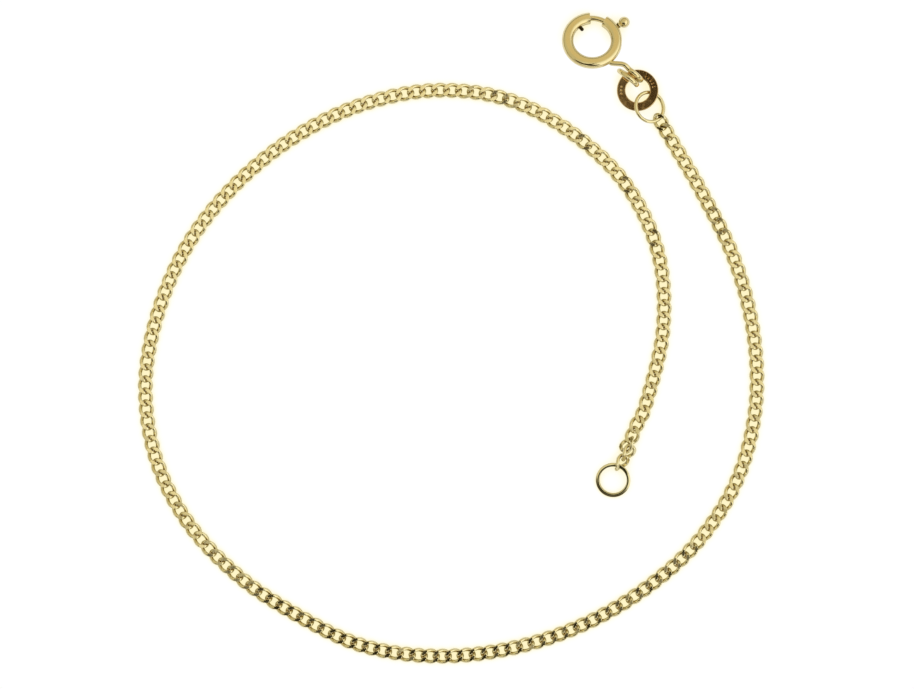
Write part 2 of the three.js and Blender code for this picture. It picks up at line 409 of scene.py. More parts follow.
# Shared effects
def polish_lines() -> bpy.types.NodeTree:
    """Builds the hairlines that a polishing mop leaves.

    Returns:
        The group. It puts out a mask of the hairlines and their height.
    """
    waver_scale = 260.0
    waver_size = 0.6 * MM
    patch_scale = 420.0
    patch_blend = (0.45, 0.62)
    hair_blend = (0.56, 0.66)
    wiring, given, out = open_tree(
        "polish_lines", "ShaderNodeTree",
        [("Place", "Vector", None), ("Fineness", "Float", 900.0), ("Stretch", "Float", 9.0)],
        [("Mask", "Float"), ("Height", "Float")],
    )
    waver = wiring.add("ShaderNodeTexNoise", {"Vector": given["Place"], "Scale": waver_scale, "Detail": 1.0})
    bent = wiring.vector("MULTIPLY_ADD", waver.outputs["Color"], (waver_size,) * 3, given["Place"])
    x, y, z = wiring.parts(bent)
    narrow = wiring.xyz(wiring.math("MULTIPLY", x, given["Stretch"]), y, z)
    lines = wiring.add("ShaderNodeTexNoise", {"Vector": narrow, "Scale": given["Fineness"], "Detail": 3.0})
    patches = wiring.add(
        "ShaderNodeTexNoise", {"Vector": given["Place"], "Scale": patch_scale, "Detail": 2.0},
    )
    where = wiring.ramp(patches.outputs["Fac"], *patch_blend)
    hair = wiring.ramp(lines.outputs["Fac"], *hair_blend)
    wiring.feed(out.inputs["Mask"], wiring.math("MULTIPLY", hair, where))
    wiring.feed(out.inputs["Height"], lines.outputs["Fac"])
    return wiring.tree


def soft_wear() -> bpy.types.NodeTree:
    """Builds the cloudy change of tone and gloss that handling leaves.

    Returns:
        The group. It puts out one mask for the tone and one for the gloss.
    """
    grain_scale = 2600.0
    grain_blend = (0.4, 0.7)
    cloud_blend = (0.35, 0.68)
    wiring, given, out = open_tree(
        "soft_wear", "ShaderNodeTree",
        [("Place", "Vector", None), ("Size", "Float", 300.0), ("Amount", "Float", 0.5)],
        [("Cloud", "Float"), ("Dull", "Float")],
    )
    cloud = wiring.add(
        "ShaderNodeTexNoise",
        {"Vector": given["Place"], "Scale": given["Size"], "Detail": 4.0, "Roughness": 0.6},
    )
    grain = wiring.add("ShaderNodeTexNoise", {"Vector": given["Place"], "Scale": grain_scale, "Detail": 2.0})
    soft = wiring.ramp(cloud.outputs["Fac"], *cloud_blend)
    wiring.feed(out.inputs["Cloud"], wiring.math("MULTIPLY", soft, given["Amount"]))
    dull = wiring.math("MULTIPLY", soft, wiring.ramp(grain.outputs["Fac"], *grain_blend))
    wiring.feed(out.inputs["Dull"], wiring.math("MULTIPLY", dull, given["Amount"]))
    return wiring.tree


def painted_crevice_shade() -> bpy.types.NodeTree:
    """Builds the mask of painted shade in narrow places: darker where pieces lie close, from ambient
    occlusion.

    Returns:
        The group. Its mask is 1 deep between two pieces and 0 in the open.
    """
    deep = 0.22
    in_the_open = 0.80
    samples = 8
    wiring, given, out = open_tree(
        "painted_crevice_shade", "ShaderNodeTree", [("Reach", "Float", 0.3 * MM)], [("Mask", "Float")],
    )
    # Painted shade: ambient occlusion, darkest between two pieces
    openness = wiring.add("ShaderNodeAmbientOcclusion", {"Distance": given["Reach"]}, samples=samples)
    wiring.feed(out.inputs["Mask"], wiring.ramp(openness.outputs["AO"], deep, in_the_open, 1.0, 0.0))
    return wiring.tree


@dataclass(frozen=True)
class GoldFinish:
    """A polished gold, with its tone, its gloss, the traces of polishing and wear, and painted shade in
    narrow places.

    Attributes:
        name: The material's name.
        colour: Its tone where it is clean.
        warm: Its tone where it has been handled.
        gloss: Its roughness where it is clean.
        dull: What handling adds to the roughness at most.
        scratch: What a hairline adds to it at most.
        ripple: The depth of the waves in its surface.
        cloud_size: How fine the handled patches are.
        cloud_amount: How strong they are.
        shadow: The painted shade's tone in narrow places between pieces.
        reach: How far from another piece the painted shade reaches.
        wave_scale: How fine the waves are.
        hair_share: The hairlines' share of the waves' depth.
    """

    name: str
    colour: Colour
    warm: Colour
    gloss: float
    dull: float
    scratch: float
    ripple: float
    cloud_size: float
    cloud_amount: float
    shadow: Colour = (0.37, 0.23, 0.04)
    reach: float = 0.28 * MM
    wave_scale: float = 900.0
    hair_share: float = 0.12

    def material(self, effects: dict[str, bpy.types.NodeTree]) -> bpy.types.Material:
        """Builds the material.

        Args:
            effects: The shared groups by name.

        Returns:
            The new material.
        """
        made = bpy.data.materials.new(self.name)
        made.use_nodes = True
        wiring = Wiring(made.node_tree)
        shader = next(n for n in made.node_tree.nodes if n.type == "BSDF_PRINCIPLED")
        shader.inputs["Metallic"].default_value = 1.0
        place = wiring.add("ShaderNodeTexCoord").outputs["Object"]
        wear = wiring.add("ShaderNodeGroup", node_tree=effects["soft_wear"])
        wiring.feed(wear.inputs["Place"], place)
        wear.inputs["Size"].default_value = self.cloud_size
        wear.inputs["Amount"].default_value = self.cloud_amount
        lines = wiring.add("ShaderNodeGroup", node_tree=effects["polish_lines"])
        wiring.feed(lines.inputs["Place"], place)
        tone = wiring.mix(wear.outputs["Cloud"], rgba(self.colour), rgba(self.warm))
        # Painted shade: the tone goes to the shadow colour where another piece is close
        narrow = wiring.add("ShaderNodeGroup", node_tree=effects["painted_crevice_shade"])
        narrow.inputs["Reach"].default_value = self.reach
        tone = wiring.mix(narrow.outputs["Mask"], tone, rgba(self.shadow))
        wiring.feed(shader.inputs["Base Color"], tone)
        rough = wiring.math("MULTIPLY_ADD", wear.outputs["Dull"], self.dull, self.gloss)
        rough = wiring.math("MULTIPLY_ADD", lines.outputs["Mask"], self.scratch, rough)
        wiring.feed(shader.inputs["Roughness"], rough)
        waves = wiring.add("ShaderNodeTexNoise", {"Vector": place, "Scale": self.wave_scale, "Detail": 1.0})
        height = wiring.math("MULTIPLY_ADD", lines.outputs["Height"], self.hair_share, waves.outputs["Fac"])
        bump = wiring.add("ShaderNodeBump", {"Height": height, "Strength": 1.0, "Distance": self.ripple})
        wiring.feed(shader.inputs["Normal"], bump.outputs["Normal"])
        return made


CHAIN_FINISH = GoldFinish(
    name="chain_gold", colour=(0.97, 0.91, 0.64), warm=(0.94, 0.84, 0.50), gloss=0.07, dull=0.06,
    scratch=0.06, ripple=0.008 * MM, cloud_size=240.0, cloud_amount=0.6,
)
CLASP_FINISH = GoldFinish(
    name="clasp_gold", colour=(0.96, 0.87, 0.57), warm=(0.92, 0.80, 0.48), gloss=0.09, dull=0.12,
    scratch=0.14, ripple=0.010 * MM, cloud_size=420.0, cloud_amount=0.7,
)
RING_FINISH = GoldFinish(
    name="ring_gold", colour=(0.96, 0.89, 0.60), warm=(0.92, 0.81, 0.48), gloss=0.06, dull=0.06,
    scratch=0.06, ripple=0.006 * MM, cloud_size=500.0, cloud_amount=0.5,
)
TAG_FINISH = GoldFinish(
    name="tag_gold", colour=(0.80, 0.58, 0.30), warm=(0.70, 0.46, 0.21), gloss=0.06, dull=0.04,
    scratch=0.05, ripple=0.002 * MM, cloud_size=700.0, cloud_amount=0.9,
)
# A near-black finish on the spring's stop
NEAR_BLACK_FINISH = GoldFinish(
    name="near_black_stop", colour=(0.06, 0.04, 0.02), warm=(0.04, 0.03, 0.01), gloss=0.30, dull=0.20,
    scratch=0.10, ripple=0.008 * MM, cloud_size=900.0, cloud_amount=0.6,
)


# Geometry trees
def round_wire() -> bpy.types.NodeTree:
    """Builds the tree that makes a wire along a curve, thinner where the curve's radius is less.

    A squareness of 2 is a round wire, and more is a wire with flatter sides.

    Returns:
        The geometry tree.
    """
    wiring, given, out = open_tree(
        "round_wire", "GeometryNodeTree",
        [("Path", "Geometry", None), ("Wire", "Float", 0.3 * MM), ("Squareness", "Float", 2.0),
         ("Sides", "Int", 24), ("Steps", "Int", 96), ("Finish", "Material", None)],
        [("Geometry", "Geometry")],
    )
    path = wiring.add(
        "GeometryNodeResampleCurve", {"Curve": given["Path"], "Count": given["Steps"]}, mode="COUNT",
    )
    circle = wiring.add("GeometryNodeCurvePrimitiveCircle", {"Resolution": given["Sides"], "Radius": 1.0})
    x, y, _ = wiring.parts(wiring.add("GeometryNodeInputPosition").outputs[0])
    half = wiring.math("MULTIPLY", given["Wire"], 0.5)
    square = [wiring.math("MULTIPLY", half, wiring.boxy(side, given["Squareness"])) for side in (x, y)]
    section = wiring.add(
        "GeometryNodeSetPosition",
        {"Geometry": circle.outputs["Curve"], "Position": wiring.xyz(*square, 0.0)},
    )
    swept = wiring.add(
        "GeometryNodeCurveToMesh",
        {"Curve": path.outputs["Curve"], "Profile Curve": section.outputs["Geometry"], "Fill Caps": True},
    )
    smooth = wiring.add(
        "GeometryNodeSetShadeSmooth", {"Geometry": swept.outputs["Mesh"], "Shade Smooth": True},
    )
    whole = wiring.add("GeometryNodeRealizeInstances", {"Geometry": smooth.outputs["Geometry"]})
    dressed = wiring.add(
        "GeometryNodeSetMaterial", {"Geometry": whole.outputs["Geometry"], "Material": given["Finish"]},
    )
    wiring.feed(out.inputs["Geometry"], dressed.outputs["Geometry"])
    return wiring.tree


@dataclass(frozen=True)
class Kink:
    """How one link near an end of the chain is turned, in degrees, against a link in the flat run."""

    roll: float
    pitch: float
    yaw: float


def curb_links(first: list[Kink], last: list[Kink]) -> bpy.types.NodeTree:
    """Builds the tree that lays twisted, flat-cut links along a route.

    Args:
        first: The kinks of the first links, from the end inwards.
        last: The kinks of the last links, from the end inwards.

    Returns:
        The geometry tree.
    """
    wiring, given, out = open_tree(
        "curb_links", "GeometryNodeTree",
        [("Route", "Geometry", None), ("Links", "Int", 180), ("Loose Links", "Int", 4),
         ("Link Length", "Float", 1.3 * MM), ("Link Width", "Float", 0.9 * MM), ("Squareness", "Float", 2.0),
         ("Wire", "Float", 0.3 * MM), ("Twist", "Float", 0.8),
         ("Cut Height", "Float", 0.25 * MM), ("Link Steps", "Int", 28), ("Wire Sides", "Int", 10),
         ("Jitter", "Vector", (0.0, 0.0, 0.0)), ("Seed", "Int", 1), ("Finish", "Material", None)],
        [("Geometry", "Geometry")],
    )
    # The middle of a link that stands on its edge lies this many half widths above the surface
    clearance = 1.1
    link = one_link(wiring, given)
    kinks = link_kinks(wiring, given, first, last)
    # The route's first spline is the flat run, and the points of its second are the loose links
    flat_run = wiring.math("LESS_THAN", element_number(wiring), 0.5)
    path = wiring.add(
        "GeometryNodeResampleCurve",
        {"Curve": given["Route"], "Selection": flat_run, "Count": given["Links"]}, mode="COUNT",
    )
    roll, pitch, yaw = wiring.parts(kinks)
    tangent = wiring.parts(wiring.add("GeometryNodeInputTangent").outputs[0])
    half_width = wiring.math("MULTIPLY", wiring.math("ADD", given["Link Width"], given["Wire"]), 0.5)
    spare = wiring.math("SUBTRACT", wiring.math("MULTIPLY", half_width, clearance), given["Cut Height"])
    lift = wiring.math("MULTIPLY", wiring.math("ABSOLUTE", wiring.math("SINE", roll)), spare)
    raised = wiring.xyz(0.0, 0.0, wiring.math("ADD", lift, given["Cut Height"]))
    laid = wiring.add("GeometryNodeSetPosition", {"Geometry": path.outputs["Curve"], "Offset": raised})
    loose = wiring.add("FunctionNodeRandomValue", data_type="FLOAT_VECTOR")
    wiring.feed(loose.inputs["Min"], wiring.vector("MULTIPLY", given["Jitter"], (-1.0, -1.0, -1.0)))
    wiring.feed(loose.inputs["Max"], given["Jitter"])
    wiring.feed(loose.inputs["Seed"], given["Seed"])
    heading = wiring.math("ARCTAN2", tangent[1], tangent[0])
    kinked = wiring.xyz(roll, pitch, wiring.math("ADD", heading, yaw))
    turned = wiring.vector("ADD", kinked, loose.outputs[0])
    placed = wiring.add(
        "GeometryNodeInstanceOnPoints",
        {"Points": laid.outputs["Geometry"], "Instance": link, "Rotation": turned},
    )
    whole = wiring.add("GeometryNodeRealizeInstances", {"Geometry": placed.outputs["Instances"]})
    dressed = wiring.add(
        "GeometryNodeSetMaterial", {"Geometry": whole.outputs["Geometry"], "Material": given["Finish"]},
    )
    wiring.feed(out.inputs["Geometry"], dressed.outputs["Geometry"])
    return wiring.tree


def one_link(wiring: Wiring, given: dict[str, bpy.types.NodeSocket]) -> bpy.types.NodeSocket:
    """Adds the nodes of one link: an oval, twisted along its length, swept and cut flat above and below.

    Args:
        wiring: The tree's wiring.
        given: The tree's inputs by name.

    Returns:
        The link's geometry.
    """
    # Wire past this share of the cut height is pressed out to it, so that the cut's edge is crisp
    cut_share = 0.9
    # A face that points up or down more than this is a cut one
    level = 0.999
    oval = wiring.add("GeometryNodeCurvePrimitiveCircle", {"Resolution": given["Link Steps"], "Radius": 1.0})
    place = wiring.parts(wiring.add("GeometryNodeInputPosition").outputs[0])
    x, y = (wiring.boxy(side, given["Squareness"]) for side in place[:2])
    turn = wiring.math("MULTIPLY", wiring.math("MULTIPLY", x, given["Twist"]), -1.0)
    across = wiring.math("MULTIPLY", wiring.math("MULTIPLY", y, given["Link Width"]), 0.5)
    twisted = wiring.xyz(
        wiring.math("MULTIPLY", wiring.math("MULTIPLY", x, given["Link Length"]), 0.5),
        wiring.math("MULTIPLY", across, wiring.math("COSINE", turn)),
        wiring.math("MULTIPLY", across, wiring.math("SINE", turn)),
    )
    bent = wiring.add("GeometryNodeSetPosition", {"Geometry": oval.outputs["Curve"], "Position": twisted})
    section = wiring.add(
        "GeometryNodeCurvePrimitiveCircle",
        {"Resolution": given["Wire Sides"], "Radius": wiring.math("MULTIPLY", given["Wire"], 0.5)},
    )
    swept = wiring.add(
        "GeometryNodeCurveToMesh",
        {"Curve": bent.outputs["Geometry"], "Profile Curve": section.outputs["Curve"]},
    )
    x, y, z = wiring.parts(wiring.add("GeometryNodeInputPosition").outputs[0])
    least = wiring.math("MULTIPLY", given["Cut Height"], cut_share)
    cut_off = wiring.math("GREATER_THAN", wiring.math("ABSOLUTE", z), least)
    flat = wiring.math("MULTIPLY", wiring.math("SIGN", z), given["Cut Height"])
    cut_flat = wiring.add(
        "GeometryNodeSetPosition",
        {"Geometry": swept.outputs["Mesh"], "Selection": cut_off, "Position": wiring.xyz(x, y, flat)},
    )
    smooth = wiring.add(
        "GeometryNodeSetShadeSmooth", {"Geometry": cut_flat.outputs["Geometry"], "Shade Smooth": True},
    )
    rise = wiring.math("ABSOLUTE", wiring.parts(wiring.add("GeometryNodeInputNormal").outputs[0])[2])
    facet = wiring.add(
        "GeometryNodeSetShadeSmooth",
        {"Geometry": smooth.outputs["Geometry"], "Shade Smooth": False,
         "Selection": wiring.math("GREATER_THAN", rise, level)},
    )
    return facet.outputs["Geometry"]


def element_number(wiring: Wiring) -> bpy.types.NodeSocket:
    """Returns the number of the spline or point that a node works on."""
    return wiring.add("GeometryNodeInputIndex").outputs[0]


def link_kinks(wiring: Wiring, given: dict[str, bpy.types.NodeSocket], first: list[Kink], last: list[Kink],
               ) -> bpy.types.NodeSocket:
    """Adds the nodes that pick each link's kink by its number.

    Args:
        wiring: The tree's wiring.
        given: The tree's inputs by name.
        first: The kinks of the first links, from the end inwards.
        last: The kinks of the last links, from the end inwards.

    Returns:
        The link's roll, pitch and yaw in radians.
    """
    number = element_number(wiring)
    total_links = wiring.math("ADD", given["Links"], given["Loose Links"])
    from_end = wiring.math("SUBTRACT", wiring.math("SUBTRACT", total_links, 1.0), number)
    total: object = (0.0, 0.0, 0.0)
    for counted, kinks in ((number, first), (from_end, last)):
        for place, kink in enumerate(kinks):
            chosen = wiring.math("COMPARE", counted, float(place), 0.5)
            turns = tuple(math.radians(v) for v in (kink.roll, kink.pitch, kink.yaw))
            share = wiring.vector("MULTIPLY", turns, wiring.xyz(chosen, chosen, chosen))
            total = wiring.vector("ADD", total, share)
    return total


# Sub-assemblies
@dataclass
class Chain:
    """The curb chain: real links, twisted and cut flat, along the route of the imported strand.

    Lengths are in metres. The twist and the jitter are in degrees, and the jitter is the most that a link is
    turned by chance, about each axis.
    """

    wire: float = 0.30 * MM
    width: float = 1.26 * MM
    pitch: float = 1.0 * MM
    play: float = 0.025 * MM
    squareness: float = 2.35
    twist: float = 50.0
    cut_height: float = 0.27 * MM
    jitter: tuple[float, float, float] = (1.2, 0.6, 0.8)
    seed: int = 7
    route_steps: int = 32

    # The flat run's centreline from the middle of the first link, at the clasp: X and Y in millimetres
    ROUTE = (
        (17.45, 18.1), (18.45, 16.4), (20.95, 12.1), (23.65, 6.5), (25.2, 0.4), (25.35, -5.8),
        (23.8, -11.8), (20.45, -17.0), (15.75, -21.1), (10.3, -24.1), (4.35, -25.9), (-1.65, -26.4),
        (-7.5, -25.5), (-12.8, -23.0), (-17.7, -19.75), (-21.9, -15.3), (-24.6, -9.9), (-25.45, -3.75),
        (-24.35, 2.35), (-21.8, 8.05), (-17.9, 12.9), (-13.05, 16.8), (-7.45, 19.5), (-1.3, 20.7),
        (4.85, 19.9), (10.35, 16.95), (14.75, 12.6), (17.3, 6.95), (17.65, 0.7), (16.25, -5.35),
        (15.48, -7.12),
    )
    # The last links lie slack and askew, so each has a place of its own
    LOOSE = ((15.12, -8.0), (14.7, -8.75), (14.7, -9.5), (14.15, -10.3))
    FIRST = (Kink(15.0, 15.0, 0.0),)
    LAST = (Kink(-45.0, 0.0, 0.0), Kink(-45.0, 0.0, -18.0), Kink(45.0, 0.0, -20.0), Kink(10.0, 0.0, 9.0))

    def build(self, finish: bpy.types.Material) -> bpy.types.Object:
        """Lays the links along the route.

        Args:
            finish: The chain's material.

        Returns:
            The chain as one mesh.
        """
        points = [Vector((x * MM, y * MM, 0.0)) for x, y in self.ROUTE]
        route = curve_object("chain_route", points)
        run = route.data.splines[0]
        run.resolution_u = self.route_steps
        length = run.calc_length()
        links = round(length / self.pitch) + 1
        log.info("the chain's flat run: %d links over %.1f mm", links, length / MM)
        loose = route.data.splines.new("POLY")
        loose.points.add(len(self.LOOSE) - 1)
        for point, (x, y) in zip(loose.points, self.LOOSE):
            point.co = (x * MM, y * MM, 0.0, 1.0)
        grow(route, curb_links(list(self.FIRST), list(self.LAST)), {
            "Links": links,
            "Loose Links": len(self.LOOSE),
            "Link Length": self.pitch + self.wire + self.play,
            "Link Width": self.width - self.wire,
            "Squareness": self.squareness,
            "Wire": self.wire,
            "Twist": math.radians(self.twist),
            "Cut Height": self.cut_height,
            "Jitter": [math.radians(v) for v in self.jitter],
            "Seed": self.seed,
            "Finish": finish,
        })
        chain = realised(route, "chain_links")
        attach(chain, Body.BRACELET.value)
        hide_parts("curb_chain")
        return chain


@dataclass
class WireRing:
    """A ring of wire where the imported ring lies.

    Its side at the uphill bearing is the higher one. The bearing and the tilt are in degrees.
    """

    node: str
    outer: float
    wire: float
    uphill_bearing: float
    tilt: float
    squareness: float = 2.0
    steps: int = 120
    sides: int = 32
    knots: int = 16

    def build(self, tree: bpy.types.NodeTree, finish: bpy.types.Material) -> bpy.types.Object:
        """Bends the ring.

        Args:
            tree: The tree that makes a round wire.
            finish: The ring's material.

        Returns:
            The ring as one mesh.
        """
        centre = middle(self.node)
        radius = (self.outer - self.wire) / 2
        turn = uphill(self.uphill_bearing, self.tilt)
        points = [centre + turn @ polar(radius, 360.0 * k / self.knots) for k in range(self.knots)]
        path = curve_object(self.node + "_path", points, closed=True)
        # The handle length that makes a Bezier arc round
        reach = 4.0 / 3.0 * math.tan(math.pi / (2 * self.knots)) * radius
        for k, point in enumerate(path.data.splines[0].bezier_points):
            along = turn @ polar(reach, 360.0 * k / self.knots + 90.0)
            point.handle_left = point.co - along
            point.handle_right = point.co + along
        grow(path, tree, {
            "Wire": self.wire,
            "Squareness": self.squareness,
            "Sides": self.sides,
            "Steps": self.steps,
            "Finish": finish,
        })
        ring = realised(path, self.node + "_wire")
        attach(ring, Body.BRACELET.value)
        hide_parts(self.node)
        return ring


@dataclass
class Tag:
    """The flat ring between the clasp and the chain, with plain punched marks."""

    outer: float = 3.44 * MM
    inner: float = 2.04 * MM
    thickness: float = 0.30 * MM
    edge: float = 0.05 * MM
    edge_steps: int = 4
    steps: int = 144
    crease_angle: float = 24.0
    mark_size: float = 0.2 * MM
    mark_depth: float = 0.04 * MM
    dot_sides: int = 12

    # Bearing in degrees and kind of each mark
    MARKS = (
        (12.0, Punch.BAR), (24.0, Punch.BAR), (36.0, Punch.BAR), (48.0, Punch.BAR), (60.0, Punch.BAR),
        (168.0, Punch.DOT), (180.0, Punch.DOT), (192.0, Punch.DOT),
    )
    # A bar's length across the tag and its width, as shares of a dot
    BAR_SHAPE = (2.0, 0.7)
    # A punch's radius at the bottom of its mark and above the tag, as shares of the mark's size
    TAPER = (0.15, 0.75)

    def outline(self) -> list[tuple[float, float]]:
        """Works out the outline across the ring, with its four edges rounded.

        Returns:
            The radius and height of each point, the height from the ring's middle.
        """
        corners = (
            (self.outer / 2 - self.edge, self.thickness / 2 - self.edge, 0.0),
            (self.inner / 2 + self.edge, self.thickness / 2 - self.edge, 90.0),
            (self.inner / 2 + self.edge, self.edge - self.thickness / 2, 180.0),
            (self.outer / 2 - self.edge, self.edge - self.thickness / 2, 270.0),
        )
        points = []
        # A point just past each end of an edge's curve keeps the faces beside it flat
        past = 0.2 * self.edge
        for x, z, start in corners:
            for k in range(self.edge_steps + 1):
                turn = math.radians(start + 90.0 * k / self.edge_steps)
                points.append((x + self.edge * math.cos(turn), z + self.edge * math.sin(turn)))
                if k in (0, self.edge_steps):
                    ahead = turn + (math.pi / 2 if k else -math.pi / 2)
                    radius, height = points[-1]
                    beyond = (radius + past * math.cos(ahead), height + past * math.sin(ahead))
                    points.insert(len(points) if k else len(points) - 1, beyond)
        return points

    def punches(self, centre: Vector) -> bpy.types.Object:
        """Builds the tapered punches that the marks are cut with.

        Args:
            centre: The tag's middle.

        Returns:
            The punches as one mesh.
        """
        whole = bmesh.new()
        radius = (self.inner + self.outer) / 4
        low, high = self.TAPER
        for bearing, kind in self.MARKS:
            spot = centre + polar(radius, bearing, self.thickness / 2)
            place = Matrix.Translation(spot) @ Matrix.Rotation(math.radians(bearing), 4, "Z")
            sides = self.dot_sides if kind is Punch.DOT else 4
            stretch = (1.0, 1.0) if kind is Punch.DOT else self.BAR_SHAPE
            shape = Matrix.Diagonal((*stretch, 1.0, 1.0)) @ Matrix.Rotation(math.pi / sides, 4, "Z")
            bmesh.ops.create_cone(
                whole, cap_ends=True, segments=sides, radius1=self.mark_size * low,
                radius2=self.mark_size * high, depth=2 * self.mark_depth, matrix=place @ shape,
            )
        return mesh_object("tag_punches", whole)

    def build(self, finish: bpy.types.Material) -> bpy.types.Object:
        """Spins the ring and punches its marks.

        Args:
            finish: The tag's material.

        Returns:
            The tag as one mesh.
        """
        centre = middle("tag_ring")
        blank = mesh_object("tag_flat", lathe(self.outline(), self.steps, True), Matrix.Translation(centre))
        tag = cut(blank, self.punches(centre))
        crease(tag, self.crease_angle)
        tag.data.materials.clear()
        tag.data.materials.append(finish)
        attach(tag, Body.BRACELET.value)
        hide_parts("tag_ring")
        return tag


@dataclass
class Clasp:
    """The bolt ring: hollow tube with gap and slot, tail with its loop, and the sliding trigger.

    Lengths are in metres and angles in degrees. The loop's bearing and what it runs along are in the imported
    model's frame, and the other bearings in the clasp's own.
    """

    outer: float = 5.0 * MM
    tube_width: float = 0.94 * MM
    tube_height: float = 0.84 * MM
    tube_bore: float = 0.66 * MM
    squareness: float = 2.45
    rim: float = 0.03 * MM
    gap_from: float = 59.0
    gap_to: float = 94.0
    tube_sides: int = 48
    tube_steps: int = 216
    crease_angle: float = 40.0

    stop_at: float = 129.0
    stop_size: float = 0.30 * MM
    stop_reach: float = 1.16 * MM
    stop_steps: int = 8
    stop_sides: int = 24

    slot_width: float = 0.42 * MM
    slot_to: float = 37.8
    slot_from: float = -15.8
    slot_steps: int = 24

    tongue_wire: float = 0.44 * MM
    tongue_from: float = 24.0
    tongue_to: float = 100.0
    tongue_knots: int = 13
    tongue_tips: tuple[float, float] = (0.8, 0.7)
    tongue_sides: int = 24
    tongue_steps: int = 60
    trigger_at: float = 32.0
    post: float = 0.32 * MM
    collar: float = 0.52 * MM
    collar_reach: float = 0.13 * MM
    collar_edge: float = 0.07 * MM
    collar_steps: int = 6
    ball: float = 0.90 * MM
    ball_reach: float = 0.67 * MM
    ball_steps: int = 20
    knob_sides: int = 40

    tail_wire: float = 0.42 * MM
    loop_outer: float = 2.32 * MM
    loop_bearing: float = 118.0
    loop_along: float = -32.0
    loop_shift: float = 0.58 * MM
    loop_from: float = 112.0
    loop_turn: float = 455.0
    loop_step: float = 15.0
    neck_at: float = -52.0
    neck_straight: float = 0.1 * MM
    neck_sidestep: float = 0.4 * MM
    neck_swell: tuple[float, float] = (1.5, 1.15)
    tail_tip: float = 0.55
    tail_sides: int = 20
    tail_steps: int = 220

    @property
    def radius(self) -> float:
        """Returns the radius of the tube's middle line."""
        return (self.outer - self.tube_width) / 2

    def frame(self, joint: dict) -> Matrix:
        """Returns the clasp's own frame, from the trigger's joint: +Z along the ring's axis."""
        turn = UP.rotation_difference(-Vector(joint["axis"]))
        return Matrix.Translation(Vector(joint["pos_m"])) @ turn.to_matrix().to_4x4()

    def section(self, width: float, height: float, squareness: float) -> list[tuple[float, float]]:
        """Works out an outline across the tube.

        Args:
            width: Its size away from the ring's axis.
            height: Its size along the axis.
            squareness: 2 for a round outline, and more for flatter sides.

        Returns:
            The radius from the ring's axis and the height of each point.
        """
        points = []
        for k in range(self.tube_sides):
            turn = 2 * math.pi * k / self.tube_sides
            x = math.copysign(abs(math.cos(turn)) ** (2 / squareness), math.cos(turn))
            z = math.copysign(abs(math.sin(turn)) ** (2 / squareness), math.sin(turn))
            points.append((self.radius + width / 2 * x, height / 2 * z))
        return points

    def tube(self, place: Matrix) -> bpy.types.Object:
        """Builds the hollow tube with its gap and its slot.

        Args:
            place: The clasp's own frame.

        Returns:
            The tube's object.
        """
        mesh = bmesh.new()
        trim = 2 * self.rim
        walls = {
            "outside": self.section(self.tube_width, self.tube_height, self.squareness),
            "rim": self.section(self.tube_width - trim, self.tube_height - trim, self.squareness),
            "bore": self.section(self.tube_bore, self.tube_bore, 2.0),
        }
        span = 360.0 - (self.gap_to - self.gap_from)
        bearings = [self.gap_to + span * k / self.tube_steps for k in range(self.tube_steps + 1)]
        edge = math.degrees(self.rim / self.radius)

        def ring(wall: str, bearing: float) -> list[bmesh.types.BMVert]:
            """Adds one outline of the tube at a bearing."""
            return [mesh.verts.new(polar(r, bearing, z)) for r, z in walls[wall]]

        path = [ring("rim", bearings[0])]
        path += [ring("outside", bearings[0] + edge)]
        path += [ring("outside", b) for b in bearings[1:-1]]
        path += [ring("outside", bearings[-1] - edge), ring("rim", bearings[-1])]
        path += [ring("bore", b) for b in reversed(bearings)]
        for a, b in zip(path, path[1:] + path[:1]):
            for k in range(self.tube_sides):
                j = (k + 1) % self.tube_sides
                mesh.faces.new((a[k], a[j], b[j], b[k]))
        tube = mesh_object("clasp_tube", mesh, place)
        tube = cut(tube, self.slot_cutter(place))
        crease(tube, self.crease_angle)
        return tube

    def stop(self, place: Matrix) -> bpy.types.Object:
        """Builds the round-ended pin that stands inside the ring, at the far end of the spring.

        Args:
            place: The clasp's own frame.

        Returns:
            The pin's object.
        """
        radius = self.stop_size / 2
        points = [(0.0, self.radius), (radius, self.radius)]
        for k in range(self.stop_steps):
            turn = math.radians(90.0 * k / self.stop_steps)
            points.append((radius * math.cos(turn), self.stop_reach + radius * (1.0 - math.sin(turn))))
        points.append((0.0, self.stop_reach))
        pin = lathe(points, self.stop_sides, False)
        return mesh_object("spring_stop", pin, place @ self.outward(self.stop_at))

    def slot_cutter(self, place: Matrix) -> bpy.types.Object:
        """Builds the block that cuts the trigger's slot through the tube's outer wall.

        Args:
            place: The clasp's own frame.

        Returns:
            The block's object.
        """
        mesh = bmesh.new()
        rings = []
        for k in range(self.slot_steps + 1):
            bearing = self.slot_from + (self.slot_to - self.slot_from) * k / self.slot_steps
            rings.append([
                mesh.verts.new(polar(r, bearing, z))
                for r, z in (
                    (self.radius, -self.slot_width / 2), (self.outer, -self.slot_width / 2),
                    (self.outer, self.slot_width / 2), (self.radius, self.slot_width / 2),
                )
            ])
        for a, b in zip(rings, rings[1:]):
            for k in range(4):
                j = (k + 1) % 4
                mesh.faces.new((a[k], a[j], b[j], b[k]))
        mesh.faces.new(rings[0])
        mesh.faces.new(list(reversed(rings[-1])))
        return mesh_object("slot_cutter", mesh, place)

    def tail_points(self, place: Matrix) -> list[Vector]:
        """Works out the tail's middle line: out of the tube, over to the loop, and round it.

        Args:
            place: The clasp's own frame.

        Returns:
            The points that it passes through.
        """
        tag = Tag()
        loop_radius = (self.loop_outer - self.tail_wire) / 2
        centre = middle("tag_ring") + polar((tag.outer + tag.inner) / 4, self.loop_bearing)
        centre.z = self.loop_outer / 2
        along = polar(1.0, self.loop_along)
        across = polar(1.0, self.loop_along - 90.0)
